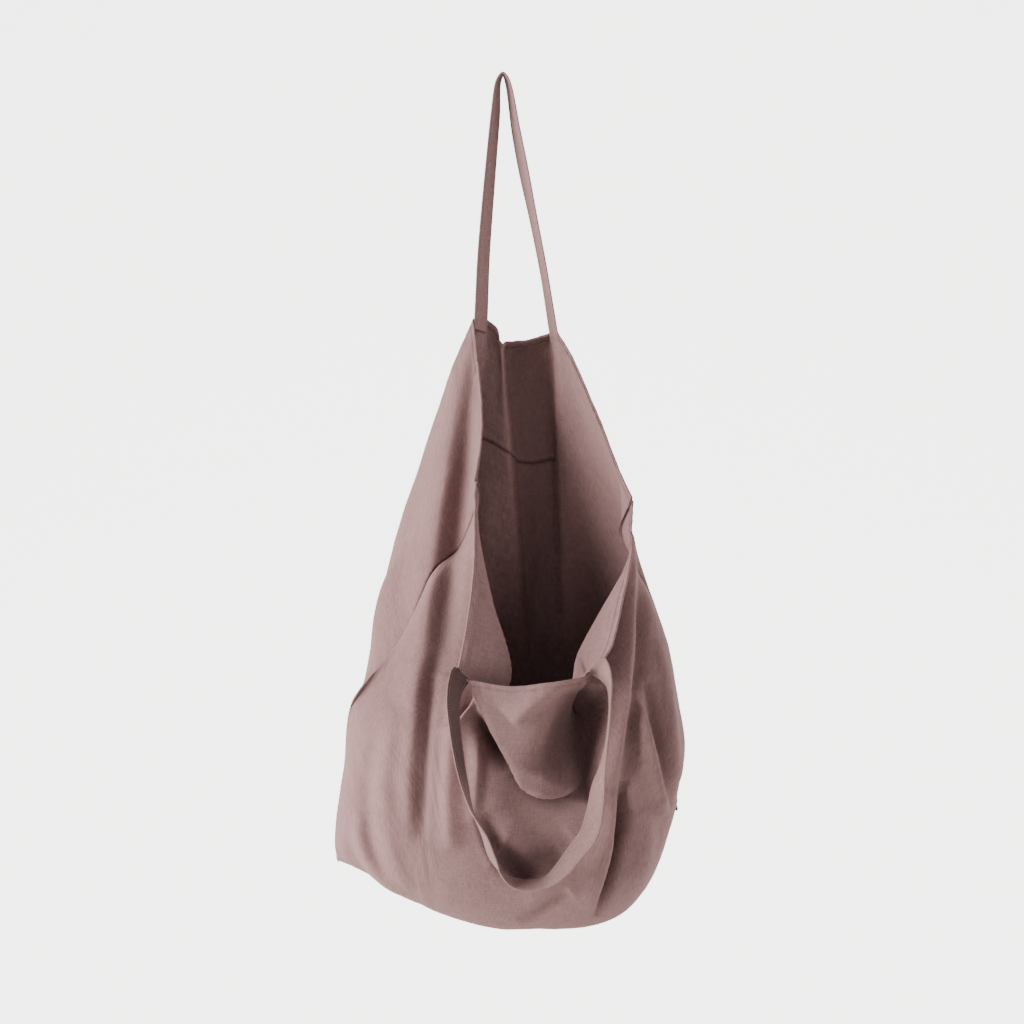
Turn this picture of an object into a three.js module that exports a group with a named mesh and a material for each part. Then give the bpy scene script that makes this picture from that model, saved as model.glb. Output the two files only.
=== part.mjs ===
import * as THREE from 'three';

// A slouchy linen tote bag, hanging by its back strap, in millimetres with +Z up and its front towards -Y.
// The origin is the underside of the back strap's top bend, where the bag hangs.
// The front strap hangs loose, so the front top edge has dropped and the two front hems turn outwards.

// Driving dimensions
const CLOTH_THICKNESS = 1.6;
const PANEL_HALF_WIDTH = 200;
const SEAM_GAP = 2;
const CORNER_CLEARANCE = { width: 12, fromV: 0.6, fullV: 0.95 };
const BOTTOM_CLEARANCE = { middle: 0.2, corner: 2, fromV: 0.85, fullV: 0.97 };
const YOKE_GAP = 1.2;
const STRAP_WIDTH = 22;
const STRAP_THICKNESS = 2.4;

// How fast a column of cloth spreads sideways below the rim: below 1 it spreads early.
const SPREAD_POWER = 0.8;
// Share of the way from the rim to the first ring where a plain hem's first guide point lies.
const HEM_SHARE = 0.07;

// Rim of the front panel, from the left side seam to the right one.
// c: place along the cloth; x, y, z: rim; rollX, rollY, rollZ: from the hem to the line where it turns out;
// turn: where this column of cloth lies on the rings below, in degrees, 0 in front and -90 at the left;
// bulge, sag: sideways and downward shift half way to the first ring.
const FRONT_RIM = [
  { c: -200, x: -30, y: -70, z: -427, rollX: 12, rollY: 8, rollZ: -7, turn: -97, bulge: 8, sag: -30 },
  { c: -160, x: -29, y: -86, z: -462, rollX: 14, rollY: 9, rollZ: -14, turn: -82, bulge: 0, sag: -18 },
  { c: -120, x: -32, y: -104, z: -530, rollX: 31, rollY: 12, rollZ: -17, turn: -62, bulge: 0, sag: -6 },
  { c: -92, x: -40, y: -118, z: -590, rollX: 57, rollY: 20, rollZ: -28, turn: -40, bulge: 0, sag: 0 },
  { c: -78, x: -46, y: -124, z: -618, rollX: 46, rollY: 22, rollZ: -40, turn: -27,
    bulge: 0, sag: 0, corner: true },
  { c: -60, x: -32, y: -128, z: -628, rollX: 4, rollY: 0, rollZ: -14, turn: -19,
    bulge: 0, sag: 0, corner: true },
  { c: 0, x: 14, y: -132, z: -634, rollX: 0, rollY: 0, rollZ: -12, turn: 0, bulge: 0, sag: 0 },
  { c: 60, x: 84, y: -123, z: -624, rollX: -2, rollY: 0, rollZ: -12, turn: 20,
    bulge: 0, sag: 0, corner: true },
  { c: 78, x: 101, y: -117, z: -608, rollX: -38, rollY: 20, rollZ: -32, turn: 29,
    bulge: 0, sag: 0, corner: true },
  { c: 92, x: 109, y: -108, z: -590, rollX: -40, rollY: 16, rollZ: -18, turn: 38, bulge: 0, sag: 0 },
  { c: 120, x: 119, y: -88, z: -540, rollX: -24, rollY: 12, rollZ: -14, turn: 57, bulge: 4, sag: 0 },
  { c: 160, x: 132, y: -68, z: -484, rollX: -9, rollY: 6, rollZ: -12, turn: 76, bulge: 2, sag: 5 },
  { c: 200, x: 135, y: -58, z: -446, rollX: -17, rollY: 10, rollZ: -26, turn: 97, bulge: 2, sag: 12 },
];

// Rim of the back panel, from the left side seam over the two strap ends to the right side seam.
const BACK_RIM = [
  { c: -200, x: -30, y: -70, z: -427, rollX: 12, rollY: 8, rollZ: -7, turn: -97, bulge: 8, sag: -30 },
  { c: -170, x: -23, y: -56, z: -386, rollX: 1, rollY: 4, rollZ: -8, turn: -110, bulge: -28, sag: -22 },
  { c: -140, x: -22, y: -44, z: -352, rollX: -7, rollY: 2, rollZ: -8, turn: -121, bulge: -27, sag: -8 },
  { c: -105, x: -26, y: -29, z: -303, rollX: -10, rollY: 0, rollZ: -8, turn: -136, bulge: -32, sag: 0 },
  { c: -78, x: -31, y: -19, z: -257, rollX: -12, rollY: 0, rollZ: -8, turn: -150,
    bulge: -33, sag: 0, corner: true },
  { c: -60, x: -16, y: -1, z: -257, rollX: 1, rollY: 0, rollZ: -8, turn: -162,
    bulge: -12, sag: 0, corner: true },
  { c: -40, x: -2, y: -3, z: -282, rollX: 1, rollY: 0, rollZ: -8, turn: -182, bulge: 0, sag: 0 },
  { c: -24, x: 3, y: 14, z: -279, rollX: 0, rollY: 0, rollZ: -8, turn: -184, bulge: 0, sag: 0 },
  { c: 20, x: 26, y: 16, z: -277, rollX: 0, rollY: 0, rollZ: -8, turn: -187, bulge: 0, sag: 0 },
  { c: 60, x: 49, y: 14, z: -270, rollX: 0, rollY: 0, rollZ: -8, turn: -190, bulge: 0, sag: 0, corner: true },
  { c: 78, x: 57, y: -6, z: -270, rollX: 1, rollY: 0, rollZ: -8, turn: -200, bulge: 0, sag: 0, corner: true },
  { c: 105, x: 73, y: -14, z: -297, rollX: 1, rollY: 0, rollZ: -8, turn: -215, bulge: 0, sag: 0 },
  { c: 150, x: 103, y: -32, z: -368, rollX: 1, rollY: 0, rollZ: -8, turn: -238, bulge: 0, sag: 0 },
  { c: 180, x: 121, y: -47, z: -415, rollX: -2, rollY: 2, rollZ: -10, turn: -252, bulge: 0, sag: 0 },
  { c: 200, x: 135, y: -58, z: -446, rollX: -17, rollY: 10, rollZ: -26, turn: -263, bulge: 2, sag: 12 },
];

// Rings of the body below the mouth, from the chest to the bottom seam.
// left, right, front, back: how far the ring reaches; zLeft, zRight, zFront, zBack: its height there;
// square: 1 is an ellipse, below 1 is fuller; curlLeft, curlRight: above 2 keeps low until near that side.
const RINGS = [
  { left: -153, right: 180, front: -124, back: 18, zLeft: -650, zRight: -648, zFront: -692, zBack: -640,
    square: 0.85, curlLeft: 2, curlRight: 2 },
  { left: -164, right: 188, front: -132, back: 20, zLeft: -724, zRight: -696, zFront: -756, zBack: -715,
    square: 0.85, curlLeft: 2, curlRight: 2 },
  { left: -171, right: 183, front: -132, back: 20, zLeft: -772, zRight: -734, zFront: -815, zBack: -785,
    square: 0.85, curlLeft: 1.8, curlRight: 3 },
  { left: -173, right: 181, front: -114, back: 18, zLeft: -802, zRight: -748, zFront: -862, zBack: -833,
    square: 0.8, curlLeft: 1.6, curlRight: 4.6 },
  { left: -173, right: 181, front: -70, back: 10, zLeft: -814, zRight: -757, zFront: -887, zBack: -862,
    square: 0.8, curlLeft: 1.25, curlRight: 4.4 },
  { left: -173, right: 181, front: -17, back: -14, zLeft: -822, zRight: -766, zFront: -878, zBack: -878,
    square: 1, curlLeft: 1.35, curlRight: 4.4 },
];

// Seam between the upper and the lower back: where it crosses each column, 0 at the rim and 1 at the bottom.
const BACK_SEAM = [
  { c: -200, v: 0.19 },
  { c: -40, v: 0.185 },
  { c: 20, v: 0.19 },
  { c: 200, v: 0.19 },
];
const UPPER_BACK_SPAN = { from: -72, to: 66 };

// The middle of the back lies deeper than the wings on either side, down to part of its height.
const RECESS = { left: -34, right: 62, fold: 8, depth: 15, endV: 0.42, fullV: 0.22, rimV: 0.02 };

// Folds seen from the front, each along a curve through three places, from x0, z0 to x2, z2.
// left, right: half widths on either side, going from the first place to the last; rise: minus for a valley.
const FOLDS = [
  { fold: 'crease down the left side', x0: -48, z0: -330, x1: -81, z1: -560, x2: -101, z2: -790,
    left: 20, right: 8, rise: -6 },
  { fold: 'roll beside the crease', x0: -40, z0: -330, x1: -70, z1: -560, x2: -90, z2: -790,
    left: 8, right: 15, rise: 6 },
  { fold: 'valley below the left hem', x0: -50, z0: -540, x1: -60, z1: -660, x2: -75, z2: -790,
    left: 10, right: 10, rise: -7 },
  { fold: 'ridge in front of the valley', x0: -42, z0: -580, x1: -50, z1: -690, x2: -62, z2: -793,
    left: 10, right: 12, rise: 5 },
  { fold: 'ridge above the left corner', x0: -106, z0: -660, x1: -118, z1: -753, x2: -96, z2: -845,
    left: 12, right: 10, rise: 6 },
  { fold: 'valley above the left corner', x0: -128, z0: -690, x1: -138, z1: -760, x2: -118, z2: -838,
    left: 9, right: 9, rise: -4 },
  { fold: 'crease at the left corner', x0: -157, z0: -790, x1: -151, z1: -808, x2: -146, z2: -826,
    left: 8, right: 8, rise: -3 },
  { fold: 'crease beside the left corner', x0: -142, z0: -790, x1: -127, z1: -818, x2: -112, z2: -846,
    left: 8, right: 8, rise: -3 },
  { fold: 'ridge down the right side', x0: 141, z0: -520, x1: 133, z1: -630, x2: 120, z2: -754,
    left: 12, right: 7, rise: 7 },
  { fold: 'valley behind it', x0: 147, z0: -560, x1: 140, z1: -650, x2: 130, z2: -735,
    left: 7, right: 10, rise: -5 },
  { fold: 'deep valley at the right', x0: 121, z0: -730, x1: 115, z1: -795, x2: 95, z2: -870,
    left: 7, right: 13, rise: -12 },
  { fold: 'ridge left of it', x0: 108, z0: -740, x1: 106, z1: -797, x2: 86, z2: -864,
    left: 13, right: 7, rise: 6 },
  { fold: 'lobe right of it', x0: 142, z0: -760, x1: 144, z1: -805, x2: 132, z2: -845,
    left: 13, right: 10, rise: 5 },
  { fold: 'ridge to the right corner', x0: 135, z0: -640, x1: 148, z1: -700, x2: 166, z2: -768,
    left: 9, right: 7, rise: 7 },
  { fold: 'crease beside that ridge', x0: 146, z0: -632, x1: 158, z1: -692, x2: 173, z2: -758,
    left: 7, right: 8, rise: -5 },
  { fold: 'ridge at the right side', x0: 160, z0: -590, x1: 172, z1: -670, x2: 180, z2: -735,
    left: 8, right: 8, rise: 4 },
  { fold: 'crease under the loose strap', x0: 64, z0: -832, x1: 37, z1: -847, x2: 10, z2: -862,
    left: 8, right: 9, rise: -4 },
  { fold: 'valley left of the cowl', x0: -29, z0: -653, x1: -13, z1: -683, x2: 12, z2: -713,
    left: 12, right: 8, rise: -8 },
  { fold: 'ridge behind the loose strap', x0: -27, z0: -655, x1: -24, z1: -700, x2: -30, z2: -775,
    left: 12, right: 8, rise: 4 },
  { fold: 'valley right of the cowl', x0: 84, z0: -650, x1: 78, z1: -690, x2: 74, z2: -738,
    left: 14, right: 10, rise: -9 },
  { fold: 'ridge across the cowl', x0: 86, z0: -626, x1: 52, z1: -648, x2: 18, z2: -676,
    left: 20, right: 10, rise: 7 },
  { fold: 'hollow below that ridge', x0: 84, z0: -652, x1: 54, z1: -682, x2: 26, z2: -712,
    left: 15, right: 18, rise: -8 },
  { fold: 'valley inside the strap, left', x0: -22, z0: -768, x1: -10, z1: -806, x2: 14, z2: -826,
    left: 9, right: 15, rise: -10 },
  { fold: 'valley inside the strap, low', x0: 8, z0: -826, x1: 36, z1: -832, x2: 68, z2: -808,
    left: 9, right: 16, rise: -10 },
];
const FOLD_SAMPLES = 40;
// Only cloth in front of this depth takes these folds.
const FOLD_DEPTH = { full: -25, none: 0 };

// The slack cowl under the front top edge, a flap seen from the front. Its left edge runs straight from the
// left strap end to the low corner, and its lower edge hangs in an arc. The cloth inside it stands forward
// and hangs over the flap's own left and lower edges.
const COWL = {
  topLeftX: -44, topLeftZ: -622,
  lowLeftX: 14, lowLeftZ: -716,
  lowestX: 58, lowestZ: -745, arc: 0.012,
  right: 96, rimZ: -628, firstC: -62, lastC: 64,
  forward: 22, rimShare: 0.2, full: 60, hangLeft: 0.1, hangDown: 0.4, hangReach: 30,
};
// How far inside each edge of the flap its cloth has come fully forward; column: the same along the rim.
const COWL_EDGE = { left: 20, low: 20, right: 30, column: 8 };

// Upright line behind the body that the folds point away from.
const BODY_AXIS = { x: 10, y: 100 };

// Straps: centre line, and the direction across the tape from its one edge to the other.
const BACK_STRAP = [
  { x: -23.2, y: -10, z: -255.6, acrossX: -13.2, acrossY: -17.6, acrossZ: 0 },
  { x: -20.2, y: -5, z: -190, acrossX: -12.3, acrossY: -18.2, acrossZ: 0 },
  { x: -14.4, y: -1, z: -115, acrossX: -11, acrossY: -19, acrossZ: 0 },
  { x: -8, y: 0, z: -42, acrossX: -9, acrossY: -20, acrossZ: 0 },
  { x: -4.5, y: 0, z: -6, acrossX: -4, acrossY: -21.6, acrossZ: 0 },
  { x: 0, y: 0, z: 1.2, acrossX: 0, acrossY: -22, acrossZ: 0 },
  { x: 4.5, y: 0, z: -6, acrossX: 4, acrossY: -21.6, acrossZ: 0 },
  { x: 14, y: 0, z: -60, acrossX: 8.4, acrossY: -20.3, acrossZ: 2 },
  { x: 21.5, y: 1, z: -99, acrossX: 9.5, acrossY: -19.8, acrossZ: 1 },
  { x: 32, y: 2, z: -150.5, acrossX: 7.4, acrossY: -20.7, acrossZ: 1 },
  { x: 43, y: 3, z: -207, acrossX: 6.8, acrossY: -20.9, acrossZ: 1 },
  { x: 53, y: 4, z: -269, acrossX: 7.9, acrossY: -20.5, acrossZ: 0 },
];
const FRONT_STRAP = [
  { x: -42.2, y: -130.7, z: -620, acrossX: -14.2, acrossY: 4.1, acrossZ: 15 },
  { x: -48, y: -138, z: -628, acrossX: -14, acrossY: -6, acrossZ: 11 },
  { x: -50, y: -148, z: -648, acrossX: -15.5, acrossY: -14, acrossZ: 6 },
  { x: -47.6, y: -153, z: -676, acrossX: -14, acrossY: -16.5, acrossZ: 3 },
  { x: -43, y: -156, z: -708, acrossX: -11, acrossY: -19, acrossZ: 0 },
  { x: -37.5, y: -157, z: -733, acrossX: -6, acrossY: -21, acrossZ: -2 },
  { x: -30.7, y: -156, z: -757, acrossX: 0, acrossY: -22, acrossZ: -2 },
  { x: -17.5, y: -154, z: -784, acrossX: 6, acrossY: -21, acrossZ: -1 },
  { x: -10.5, y: -152, z: -804, acrossX: 8, acrossY: -20.4, acrossZ: -2 },
  { x: -1, y: -150, z: -821, acrossX: 2, acrossY: -21.5, acrossZ: -4 },
  { x: 12, y: -150, z: -830.5, acrossX: 1, acrossY: -20, acrossZ: -8.5 },
  { x: 30.6, y: -151, z: -832.6, acrossX: 0, acrossY: -20, acrossZ: -9 },
  { x: 44.6, y: -152, z: -829, acrossX: 2, acrossY: -19.5, acrossZ: -10 },
  { x: 57, y: -154, z: -819, acrossX: 7, acrossY: -16.3, acrossZ: -13 },
  { x: 75, y: -156, z: -796.5, acrossX: 13, acrossY: -12.9, acrossZ: -12 },
  { x: 86, y: -158, z: -781, acrossX: 17, acrossY: -12.6, acrossZ: -6 },
  { x: 92, y: -159, z: -760, acrossX: 17, acrossY: -13.6, acrossZ: 3 },
  { x: 96, y: -158, z: -732, acrossX: 13, acrossY: -17, acrossZ: 5 },
  { x: 100.4, y: -156, z: -711.6, acrossX: 5.5, acrossY: -21, acrossZ: 4 },
  { x: 105, y: -152, z: -686, acrossX: 1, acrossY: -22, acrossZ: 2 },
  { x: 108, y: -146, z: -652, acrossX: 0.5, acrossY: -22, acrossZ: 0 },
  { x: 107, y: -138, z: -629, acrossX: 5, acrossY: -20, acrossZ: 6 },
  { x: 101, y: -128, z: -618, acrossX: 12, acrossY: -12, acrossZ: 14 },
  { x: 94.4, y: -121.9, z: -613.9, acrossX: 17, acrossY: 6, acrossZ: 17 },
];

// Where the panels stop above the bottom seam, and the step down from the back's seam, along a column.
const LAST_V = 0.996;
const SEAM_STEP = 0.0006;

// Mesh density
const PANEL_COLUMNS = 64;
const FRONT_ROWS = 30;
const SEAM_ROW = 5;
const BACK_ROWS = 18;
const STRAP_STEPS = 56;
const STRAP_COLUMNS = 1;
const UPPER_BACK_COLUMNS = 14;
const LEFT_COLUMNS = 11;
const RIGHT_COLUMNS = 11;

const LINEN_COLOUR = 0xa98a86;
const STRAP_COLOUR = 0xa48580;

function mix(a, b, share) {
  return a + (b - a) * share;
}

// Goes smoothly from 0 to 1 as the value goes from one limit to the other, either way round.
function smooth(from, to, value) {
  const t = THREE.MathUtils.clamp((value - from) / (to - from), 0, 1);
  return t * t * (3 - 2 * t);
}

// Smooth curve through one column of a table whose rows are sorted by key. A corner row keeps its kink.
function tableValue(rows, key, name, at) {
  let i = 0;
  while (i < rows.length - 2 && at > rows[i + 1][key]) {
    i += 1;
  }
  const a = rows[i];
  const b = rows[i + 1];
  const span = b[key] - a[key];
  const slope = (b[name] - a[name]) / span;
  const tangent = (row, before, after) => {
    if (row.corner || !before || !after) {
      return slope;
    }
    return (after[name] - before[name]) / (after[key] - before[key]);
  };
  const slopeA = tangent(a, rows[i - 1], b);
  const slopeB = tangent(b, a, rows[i + 2]);
  const t = THREE.MathUtils.clamp((at - a[key]) / span, 0, 1);
  const t2 = t * t;
  const t3 = t2 * t;
  return (2 * t3 - 3 * t2 + 1) * a[name] + (t3 - 2 * t2 + t) * span * slopeA
    + (3 * t2 - 2 * t3) * b[name] + (t3 - t2) * span * slopeB;
}

// Point of a ring at an angle round the body.
function ringPoint(ring, turn) {
  const angle = THREE.MathUtils.degToRad(turn);
  const side = Math.sin(angle);
  const ahead = Math.cos(angle);
  const sideReach = Math.sign(side) * Math.abs(side) ** ring.square;
  const aheadReach = Math.sign(ahead) * Math.abs(ahead) ** ring.square;
  const x = mix(ring.left, ring.right, (1 + sideReach) / 2);
  const y = mix(ring.back, ring.front, (1 + aheadReach) / 2);
  const sideZ = side < 0 ? ring.zLeft : ring.zRight;
  const curl = side < 0 ? ring.curlLeft : ring.curlRight;
  const middleZ = ahead > 0 ? ring.zFront : ring.zBack;
  return new THREE.Vector3(x, y, mix(middleZ, sideZ, Math.abs(side) ** curl));
}

// One column of cloth from the rim, over the turned hem, down the rings to the bottom seam.
function clothColumn(rim, c) {
  const value = (name) => tableValue(rim, 'c', name, c);
  const turn = value('turn');
  const hem = new THREE.Vector3(value('x'), value('y'), value('z'));
  const rings = RINGS.map((ring) => ringPoint(ring, turn));
  const roll = new THREE.Vector3(value('rollX'), value('rollY'), value('rollZ')).add(hem);
  roll.lerp(rings[0], HEM_SHARE);
  const spread = 0.5 ** SPREAD_POWER;
  const middle = new THREE.Vector3(
    mix(roll.x, rings[0].x, spread) + value('bulge'),
    mix(roll.y, rings[0].y, spread),
    mix(roll.z, rings[0].z, 0.5) + value('sag'),
  );
  return new THREE.CatmullRomCurve3([hem, roll, middle, ...rings], false, 'centripetal');
}

// Places along a fold's curve, with the direction of the curve at each.
function foldLine(fold) {
  const bendX = 2 * fold.x1 - (fold.x0 + fold.x2) / 2;
  const bendZ = 2 * fold.z1 - (fold.z0 + fold.z2) / 2;
  const curve = new THREE.QuadraticBezierCurve(
    new THREE.Vector2(fold.x0, fold.z0),
    new THREE.Vector2(bendX, bendZ),
    new THREE.Vector2(fold.x2, fold.z2),
  );
  const line = [];
  for (let i = 0; i <= FOLD_SAMPLES; i += 1) {
    const share = i / FOLD_SAMPLES;
    line.push({ share, place: curve.getPoint(share), run: curve.getTangent(share) });
  }
  return line;
}

const FOLD_LINES = FOLDS.map(foldLine);

// How far the folds lift the cloth at a point.
function foldRise(point) {
  const here = new THREE.Vector2(point.x, point.z);
  let rise = 0;
  FOLDS.forEach((fold, k) => {
    let near = FOLD_LINES[k][0];
    for (const sample of FOLD_LINES[k]) {
      if (sample.place.distanceToSquared(here) < near.place.distanceToSquared(here)) {
        near = sample;
      }
    }
    const side = near.run.cross(here.clone().sub(near.place));
    const away = near.place.distanceTo(here) / (side > 0 ? fold.right : fold.left);
    const fade = Math.sqrt(Math.max(0, Math.sin(Math.PI * near.share)));
    rise += fold.rise * fade * Math.exp(-away * away);
  });
  return rise * (1 - smooth(FOLD_DEPTH.full, FOLD_DEPTH.none, point.y));
}

// How far the slack flap moves the cloth: forward, and over its own left and lower edges.
function cowlShift(c, point) {
  const run = new THREE.Vector2(COWL.lowLeftX - COWL.topLeftX, COWL.lowLeftZ - COWL.topLeftZ).normalize();
  const fromLeft = run.cross(new THREE.Vector2(point.x - COWL.topLeftX, point.z - COWL.topLeftZ));
  const above = point.z - COWL.lowestZ - COWL.arc * (point.x - COWL.lowestX) ** 2;
  const inside = smooth(0, COWL_EDGE.left, fromLeft) * smooth(0, COWL_EDGE.low, above)
    * smooth(0, COWL_EDGE.right, COWL.right - point.x)
    * smooth(COWL.firstC - COWL_EDGE.column, COWL.firstC + COWL_EDGE.column, c)
    * smooth(COWL.lastC + COWL_EDGE.column, COWL.lastC - COWL_EDGE.column, c);
  const belowRim = smooth(0, COWL.full, COWL.rimZ - point.z);
  const forward = COWL.forward * inside * mix(COWL.rimShare, 1, belowRim);
  const left = COWL.hangLeft * forward * (1 - smooth(0, COWL.hangReach, fromLeft));
  const down = COWL.hangDown * forward * (1 - smooth(0, COWL.hangReach, above));
  return new THREE.Vector3(-left, -forward, -down);
}

// How far back the middle of the back lies, behind the sharp fold on either side of it.
function recessShift(c, v) {
  const across = smooth(RECESS.left - RECESS.fold, RECESS.left, c)
    * smooth(RECESS.right + RECESS.fold, RECESS.right, c);
  return RECESS.depth * across * smooth(RECESS.endV, RECESS.fullV, v) * smooth(0, RECESS.rimV, v);
}

// Moves a point outwards from the body's middle by the folds that cross it.
function folded(point) {
  const out = new THREE.Vector3(point.x - BODY_AXIS.x, point.y - BODY_AXIS.y, 0).normalize();
  return point.addScaledVector(out, foldRise(point));
}

// Distance that each panel keeps from the bottom seam's middle line: more at the corners.
function bottomClearance(c, v) {
  const corner = (c / PANEL_HALF_WIDTH) ** 2;
  const nearBottom = smooth(BOTTOM_CLEARANCE.fromV, BOTTOM_CLEARANCE.fullV, v);
  return mix(BOTTOM_CLEARANCE.middle, BOTTOM_CLEARANCE.corner, corner) * nearBottom;
}

function frontPoint(c, v) {
  const point = clothColumn(FRONT_RIM, c).getPoint(v);
  const shift = cowlShift(c, point);
  shift.y -= bottomClearance(c, v);
  return folded(point).add(shift);
}

function backPoint(c, v) {
  const point = folded(clothColumn(BACK_RIM, c).getPoint(v));
  point.y += bottomClearance(c, v) + recessShift(c, v);
  return point;
}

// Closed wall of cloth: the kept cells of a grid of points, given thickness along the surface's normals.
function clothWall(columns, rows, pointAt, keeps, thickness) {
  const stride = rows + 1;
  const middle = [];
  for (let i = 0; i <= columns; i += 1) {
    for (let j = 0; j <= rows; j += 1) {
      middle.push(pointAt(i, j));
    }
  }
  const at = (i, j) => i * stride + j;
  const faces = [];
  const normals = middle.map(() => new THREE.Vector3());
  const edges = new Map();
  const addEdge = (a, b) => {
    const back = `${b},${a}`;
    if (edges.has(back)) {
      edges.delete(back);
    } else {
      edges.set(`${a},${b}`, [a, b]);
    }
  };
  const addFace = (a, b, c) => {
    const normal = new THREE.Triangle(middle[a], middle[b], middle[c]).getNormal(new THREE.Vector3());
    faces.push([a, b, c]);
    for (const k of [a, b, c]) {
      normals[k].add(normal);
    }
    addEdge(a, b);
    addEdge(b, c);
    addEdge(c, a);
  };
  for (let i = 0; i < columns; i += 1) {
    for (let j = 0; j < rows; j += 1) {
      if (keeps(i, j)) {
        addFace(at(i, j), at(i, j + 1), at(i + 1, j));
        addFace(at(i + 1, j), at(i, j + 1), at(i + 1, j + 1));
      }
    }
  }
  const positions = [];
  const index = new Map();
  const vertex = (k, side) => {
    const key = `${k},${side}`;
    if (!index.has(key)) {
      const normal = normals[k].clone().normalize();
      const point = middle[k].clone().addScaledVector(normal, side * thickness / 2);
      index.set(key, positions.length / 3);
      positions.push(point.x, point.y, point.z);
    }
    return index.get(key);
  };
  const triangles = [];
  for (const [a, b, c] of faces) {
    triangles.push(vertex(a, 1), vertex(b, 1), vertex(c, 1));
    triangles.push(vertex(a, -1), vertex(c, -1), vertex(b, -1));
  }
  for (const [a, b] of edges.values()) {
    triangles.push(vertex(a, 1), vertex(a, -1), vertex(b, 1));
    triangles.push(vertex(b, 1), vertex(a, -1), vertex(b, -1));
  }
  const geometry = new THREE.BufferGeometry();
  geometry.setAttribute('position', new THREE.Float32BufferAttribute(positions, 3));
  geometry.setIndex(triangles);
  geometry.computeVertexNormals();
  return geometry;
}

// A place across a panel, held back from the side seam, and more near the bottom, where the fold is sharp.
function clearOfSeam(c, v) {
  const nearCorner = smooth(CORNER_CLEARANCE.fromV, CORNER_CLEARANCE.fullV, v);
  const reach = PANEL_HALF_WIDTH - SEAM_GAP / 2 - CORNER_CLEARANCE.width * nearCorner;
  return THREE.MathUtils.clamp(c, -reach, reach);
}

function frontPanel() {
  const pointAt = (i, j) => {
    const v = LAST_V * j / FRONT_ROWS;
    const c = mix(-PANEL_HALF_WIDTH, PANEL_HALF_WIDTH, i / PANEL_COLUMNS);
    return frontPoint(clearOfSeam(c, v), v);
  };
  return clothWall(PANEL_COLUMNS, FRONT_ROWS, pointAt, () => true, CLOTH_THICKNESS);
}

// Places along the back's columns: the first rows reach the seam, the others go on to the bottom.
function backRowPlace(c, j) {
  const seamV = tableValue(BACK_SEAM, 'c', 'v', c);
  if (j <= SEAM_ROW) {
    return seamV * j / SEAM_ROW;
  }
  return mix(seamV, LAST_V, (j - SEAM_ROW) / (BACK_ROWS - SEAM_ROW));
}

function upperBack() {
  const span = UPPER_BACK_SPAN;
  const pointAt = (i, j) => {
    const c = mix(span.from, span.to, i / UPPER_BACK_COLUMNS);
    return backPoint(c, backRowPlace(c, j));
  };
  return clothWall(UPPER_BACK_COLUMNS, SEAM_ROW, pointAt, () => true, CLOTH_THICKNESS);
}

// The lower back is the whole back without the upper piece: a step of the seam gap lies between them.
function lowerBack() {
  const span = UPPER_BACK_SPAN;
  const places = [];
  for (let i = 0; i <= LEFT_COLUMNS; i += 1) {
    places.push(mix(-PANEL_HALF_WIDTH, span.from - YOKE_GAP, i / LEFT_COLUMNS));
  }
  for (let i = 1; i <= UPPER_BACK_COLUMNS; i += 1) {
    places.push(mix(span.from - YOKE_GAP, span.to + YOKE_GAP, i / UPPER_BACK_COLUMNS));
  }
  for (let i = 1; i <= RIGHT_COLUMNS; i += 1) {
    places.push(mix(span.to + YOKE_GAP, PANEL_HALF_WIDTH, i / RIGHT_COLUMNS));
  }
  const underUpper = (i) => i >= LEFT_COLUMNS && i < LEFT_COLUMNS + UPPER_BACK_COLUMNS;
  const pointAt = (i, j) => {
    const v = backRowPlace(places[i], j) + (j === SEAM_ROW ? SEAM_STEP : 0);
    return backPoint(clearOfSeam(places[i], v), v);
  };
  const keeps = (i, j) => j >= SEAM_ROW || !underUpper(i);
  return clothWall(places.length - 1, BACK_ROWS, pointAt, keeps, CLOTH_THICKNESS);
}

// Tape swept along its route: a flat section whose broad side turns as the table says.
function tape(route) {
  const path = new THREE.CatmullRomCurve3(route.map((row) => new THREE.Vector3(row.x, row.y, row.z)));
  const turns = new THREE.CatmullRomCurve3(
    route.map((row) => new THREE.Vector3(row.acrossX, row.acrossY, row.acrossZ)),
  );
  const pointAt = (i, j) => {
    const t = i / STRAP_STEPS;
    const along = path.getTangent(t);
    const across = turns.getPoint(t);
    across.addScaledVector(along, -across.dot(along)).normalize();
    return path.getPoint(t).addScaledVector(across, STRAP_WIDTH * (j / STRAP_COLUMNS - 0.5));
  };
  return clothWall(STRAP_STEPS, STRAP_COLUMNS, pointAt, () => true, STRAP_THICKNESS);
}

function linenPart(name, geometry, colour) {
  const material = new THREE.MeshStandardMaterial({ color: colour, roughness: 0.92, metalness: 0 });
  const mesh = new THREE.Mesh(geometry, material);
  mesh.name = name;
  return mesh;
}

const bag = new THREE.Group();
bag.add(linenPart('front_panel', frontPanel(), LINEN_COLOUR));
bag.add(linenPart('upper_back', upperBack(), LINEN_COLOUR));
bag.add(linenPart('lower_back', lowerBack(), LINEN_COLOUR));
bag.add(linenPart('back_strap', tape(BACK_STRAP), STRAP_COLOUR));
bag.add(linenPart('front_strap', tape(FRONT_STRAP), STRAP_COLOUR));

export default bag;
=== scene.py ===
import math
from collections import namedtuple

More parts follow.
